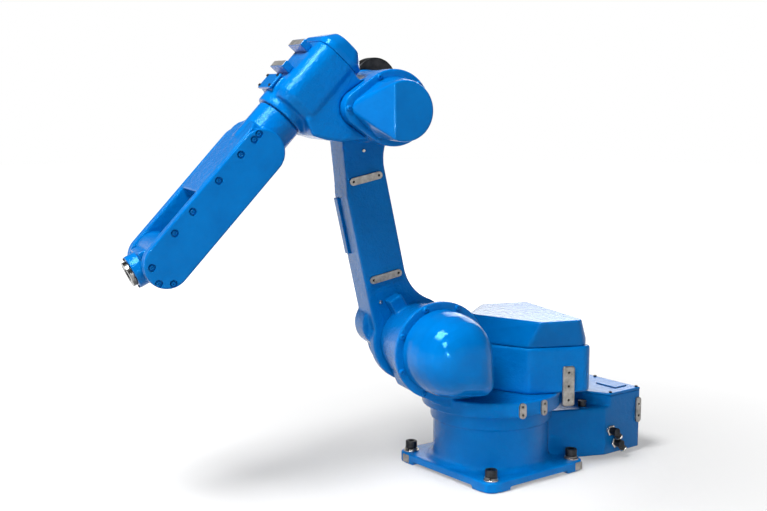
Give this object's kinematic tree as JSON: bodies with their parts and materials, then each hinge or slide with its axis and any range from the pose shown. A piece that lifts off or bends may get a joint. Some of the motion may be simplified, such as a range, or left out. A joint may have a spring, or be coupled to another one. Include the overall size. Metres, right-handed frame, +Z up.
{
  "type": "industrial robot arm",
  "caption": "Compact six-axis industrial robot arm with sealed rounded drive housings, a bolt-down foot plate, a forked forearm and a bare steel tool flange.",
  "frame": {"origin": "centre of the base underside, on the swivel axis", "axes": "+Z up along the swivel axis, +X to the front of the foot plate, away from the connector box, +Y to the left of the foot plate"},
  "size_m": [0.7075, 0.2686, 0.5885],
  "materials": {
    "blue_paint": "gloss blue coat on cast metal",
    "bare_steel": "bare machined steel",
    "black_steel": "black oxide steel"
  },
  "bodies": {
    "base": {"base_casting": "blue_paint", "connector_box_lid": "blue_paint", "deck_stop": "black_steel", "rear_side_pad": "bare_steel", "air_fitting_upper": "black_steel", "air_fitting_lower": "black_steel"},
    "swivel": {"swivel_casting": "blue_paint", "motor_housing": "blue_paint", "motor_housing_lid": "blue_paint", "shoulder_rim": "blue_paint", "shoulder_cover": "blue_paint", "swivel_pad_front": "bare_steel", "swivel_pad_rear": "bare_steel", "swivel_plate": "bare_steel"},
    "lower_arm": {"lower_arm": "blue_paint", "arm_front_strip": "blue_paint", "arm_pad_upper": "bare_steel", "arm_pad_lower": "bare_steel", "arm_top_cap": "blue_paint"},
    "elbow": {"elbow_casting": "blue_paint", "elbow_rear_lid": "blue_paint", "elbow_drive_rim": "blue_paint", "elbow_drive_cover": "blue_paint", "elbow_hatch": "blue_paint", "elbow_seat_front": "blue_paint", "elbow_seat_rear": "blue_paint"},
    "forearm": {"forearm_fork": "blue_paint", "forearm_cover_left": "blue_paint", "forearm_cover_right": "blue_paint"},
    "wrist": {"wrist_barrel": "blue_paint"},
    "tool_flange": {"tool_flange": "bare_steel"}
  },
  "joints": [
    {"name": "swivel", "type": "hinge", "parent": "base", "child": "swivel", "pos_m": [0, 0, 0.091], "axis": [0, 0, 1], "range_deg": [-170, 170]},
    {"name": "shoulder", "type": "hinge", "parent": "swivel", "child": "lower_arm", "pos_m": [0.10188, -0.0254, 0.182], "axis": [0.2419, 0.9703, 0], "range_deg": [-70, 76]},
    {"name": "elbow", "type": "hinge", "parent": "lower_arm", "child": "elbow", "pos_m": [0.16801, -0.04189, 0.49722], "axis": [-0.2419, -0.9703, 0], "range_deg": [-45, 150]},
    {"name": "forearm_roll", "type": "hinge", "parent": "elbow", "child": "forearm", "pos_m": [0.29539, -0.07365, 0.4852], "axis": [0.6568, -0.1638, -0.7361], "range_deg": [-190, 190]},
    {"name": "wrist_bend", "type": "hinge", "parent": "forearm", "child": "wrist", "pos_m": [0.4425, -0.11033, 0.32032], "axis": [0.2419, 0.9703, 0], "range_deg": [-103, 146]},
    {"name": "tool_roll", "type": "hinge", "parent": "wrist", "child": "tool_flange", "pos_m": [0.48375, -0.12061, 0.29958], "axis": [0.8721, -0.2174, -0.4384], "range_deg": [-360, 360]}
  ]
}
